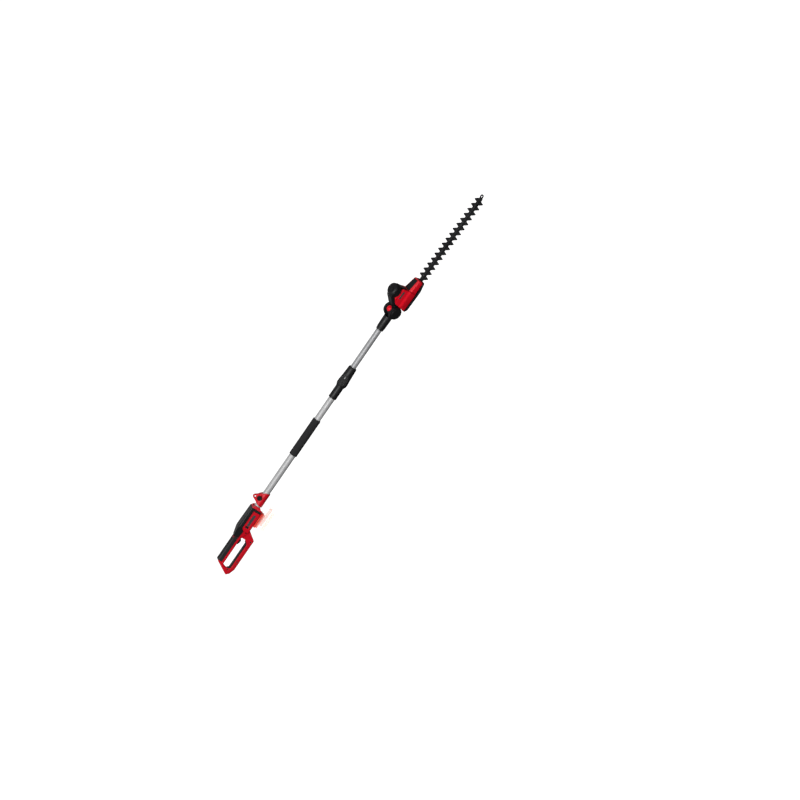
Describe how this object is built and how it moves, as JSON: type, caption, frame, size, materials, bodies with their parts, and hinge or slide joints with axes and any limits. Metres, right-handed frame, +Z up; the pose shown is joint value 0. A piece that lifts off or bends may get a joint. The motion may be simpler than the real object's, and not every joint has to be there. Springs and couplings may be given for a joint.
{
  "type": "pole hedge trimmer",
  "caption": "Cordless pole hedge trimmer: D-handle with slide-on battery, telescopic pole with foam grip, and a tilting, turning head with a double-sided blade.",
  "frame": {"origin": "centre of the strap eye, 35 mm above the axis of the pole", "axes": "+X along the pole towards the blade tip, +Z up to the strap eye with the battery below, +Y to the left of someone who holds it"},
  "size_m": [2.0921, 0.121, 0.1647],
  "materials": {
    "red_plastic": "semi-gloss moulded red",
    "rail_plastic": "semi-gloss moulded orange-red",
    "black_plastic": "fine spark-eroded texture",
    "soft_grip": "ribbed soft-touch cover",
    "foam": "closed-cell foam",
    "pole_aluminium": "drawn and anodised",
    "gear_metal": "cast",
    "steel": "plated",
    "blade_steel": "black oxide with ground edges",
    "battery_shell": "pale see-through shell",
    "cell_wrap": "shrink wrap",
    "contact_brass": "tinned",
    "board": "solder mask",
    "collet_plastic": "natural nylon",
    "lead_rubber": "sheathed lead"
  },
  "bodies": {
    "handle": {"handle_shell_left": "red_plastic", "handle_shell_right": "red_plastic", "grip_cover": "soft_grip", "loop_pad": "soft_grip", "top_cover": "black_plastic", "indicator_lens": "black_plastic", "handle_screws": "steel", "trigger_pin": "steel", "trigger_spring": "steel", "switch_module": "black_plastic", "control_board": "board", "pole_socket": "black_plastic", "battery_dock": "rail_plastic", "dock_contacts": "contact_brass", "lower_tube": "pole_aluminium", "strap_bracket_left": "red_plastic", "strap_bracket_right": "red_plastic", "bracket_knob": "black_plastic", "foam_grip": "foam", "clamp_sleeve": "black_plastic", "clamp_collet": "collet_plastic", "coiled_lead": "lead_rubber"},
    "trigger": {"trigger": "black_plastic"},
    "lock_button": {"lock_button": "red_plastic"},
    "battery": {"battery_tray": "battery_shell", "battery_lid": "battery_shell", "battery_cells": "cell_wrap"},
    "battery_latch": {"battery_latch": "battery_shell"},
    "clamp_nut": {"clamp_nut": "black_plastic"},
    "slider": {"slider_bush": "black_plastic"},
    "upper_pole": {"upper_tube": "pole_aluminium", "neck_fork": "black_plastic", "hinge_pin": "steel", "hinge_cap_left": "black_plastic", "hinge_cap_right": "black_plastic"},
    "release_button": {"release_button": "red_plastic"},
    "head": {"hinge_knuckle": "black_plastic", "release_spring": "steel", "head_shell_left": "red_plastic", "head_shell_right": "red_plastic", "motor_cover": "black_plastic", "vent_cap": "black_plastic", "head_tray": "black_plastic", "nose_cover": "black_plastic", "gear_case": "gear_metal", "motor_can": "steel", "gear_bearing": "gear_metal", "bottom_plate": "black_plastic", "blade_bar": "blade_steel", "blade_bolts": "steel", "head_screws": "steel"},
    "rotor": {"motor_pinion": "steel"},
    "gear": {"drive_gear": "steel"},
    "upper_blade": {"upper_blade": "blade_steel"},
    "lower_blade": {"lower_blade": "blade_steel"}
  },
  "joints": [
    {"name": "trigger_pull", "type": "hinge", "parent": "handle", "child": "trigger", "pos_m": [-0.2, 0, -0.048], "axis": [0, 1, 0], "range_deg": [0, 9], "stiffness_Nm_per_rad": 0.6, "springref_deg": -8.59, "deforming": ["trigger_spring"]},
    {"name": "lock_push", "type": "slide", "parent": "handle", "child": "lock_button", "axis": [0, 0.7071, -0.7071], "range_m": [0, 0.002], "stiffness_N_per_m": 300, "springref_m": -0.003},
    {"name": "battery_slide", "type": "slide", "parent": "handle", "child": "battery", "axis": [1, 0, 0], "range_m": [0, 0.14]},
    {"name": "latch_push", "type": "slide", "parent": "battery", "child": "battery_latch", "axis": [-1, 0, 0], "range_m": [0, 0.003], "stiffness_N_per_m": 400, "springref_m": -0.003},
    {"name": "nut_turn", "type": "hinge", "parent": "handle", "child": "clamp_nut", "pos_m": [0.65, 0, -0.035], "axis": [1, 0, 0], "range_deg": [0, 120]},
    {"name": "pole_extend", "type": "slide", "parent": "handle", "child": "slider", "axis": [1, 0, 0], "range_m": [-0.2, 0.39]},
    {"name": "pole_twist", "type": "hinge", "parent": "slider", "child": "upper_pole", "pos_m": [0.22, 0, -0.035], "axis": [1, 0, 0], "range_deg": [-120, 60]},
    {"name": "head_tilt", "type": "hinge", "parent": "upper_pole", "child": "head", "pos_m": [1.0535, 0, -0.035], "axis": [0, 0.866, 0.5], "range_deg": [-45, 75]},
    {"name": "tilt_release", "type": "slide", "parent": "head", "child": "release_button", "axis": [-0.0419, 0.4996, -0.8653], "range_m": [0, 0.003], "stiffness_N_per_m": 500, "springref_m": -0.003},
    {"name": "gear_spin", "type": "hinge", "parent": "head", "child": "gear", "pos_m": [1.1658, 0.01436, -0.05988], "axis": [0.0419, -0.4996, 0.8653], "continuous": true},
    {"name": "rotor_spin", "type": "hinge", "parent": "head", "child": "rotor", "pos_m": [1.14142, 0.00184, -0.03819], "axis": [0.0419, -0.4996, 0.8653], "continuous": true},
    {"name": "upper_stroke", "type": "slide", "parent": "head", "child": "upper_blade", "axis": [0.9991, 0.0209, -0.0363], "range_m": [-0.007, 0.007]},
    {"name": "lower_stroke", "type": "slide", "parent": "head", "child": "lower_blade", "axis": [0.9991, 0.0209, -0.0363], "range_m": [-0.007, 0.007]}
  ],
  "couplings": [
    {"joint": "rotor_spin", "follows": "gear_spin", "ratio": -5.25},
    {"joint": "lower_stroke", "follows": "upper_stroke", "ratio": -1}
  ]
}
